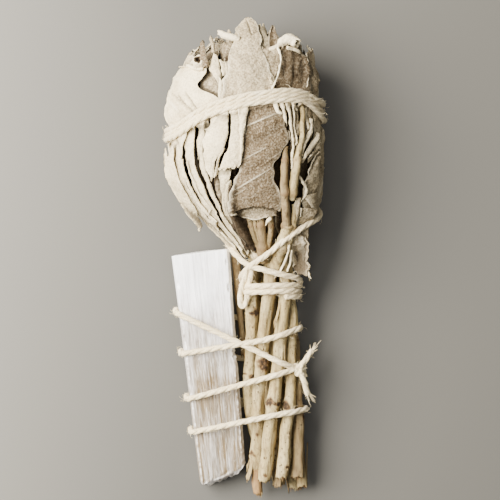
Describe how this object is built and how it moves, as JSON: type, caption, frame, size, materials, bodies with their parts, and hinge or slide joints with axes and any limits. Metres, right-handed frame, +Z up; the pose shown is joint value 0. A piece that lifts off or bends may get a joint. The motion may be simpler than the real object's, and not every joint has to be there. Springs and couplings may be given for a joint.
{
  "type": "sage smudge stick with satin spar bar",
  "caption": "Dried white sage bundle with a bulbous leafy head on bare stems, tied with soft cotton string, and a rough satin spar bar bound along its stems.",
  "frame": {"origin": "middle of the lying bundle's outline, on the table", "axes": "+Y from the cut stem ends to the tip of the leafy head, +Z up from the table, +X to the side away from the spar bar"},
  "size_m": [0.0702, 0.1996, 0.0547],
  "materials": {
    "sage_leaf": "matt, velvety dried leaf",
    "sage_stem": "matt, rough dried stem",
    "satin_spar": "silky, fibrous, translucent",
    "cotton_string": "matt, soft and fuzzy"
  },
  "bodies": {
    "root": {"middle_stem": "sage_stem", "stem_front": "sage_leaf", "stem_right_front": "sage_leaf", "stem_right": "sage_leaf", "stem_right_back": "sage_leaf", "stem_back_right": "sage_leaf", "stem_back": "sage_leaf", "stem_back_left": "sage_leaf", "stem_left": "sage_leaf", "satin_spar": "satin_spar", "head_string": "cotton_string", "crystal_string": "cotton_string"}
  },
  "joints": []
}
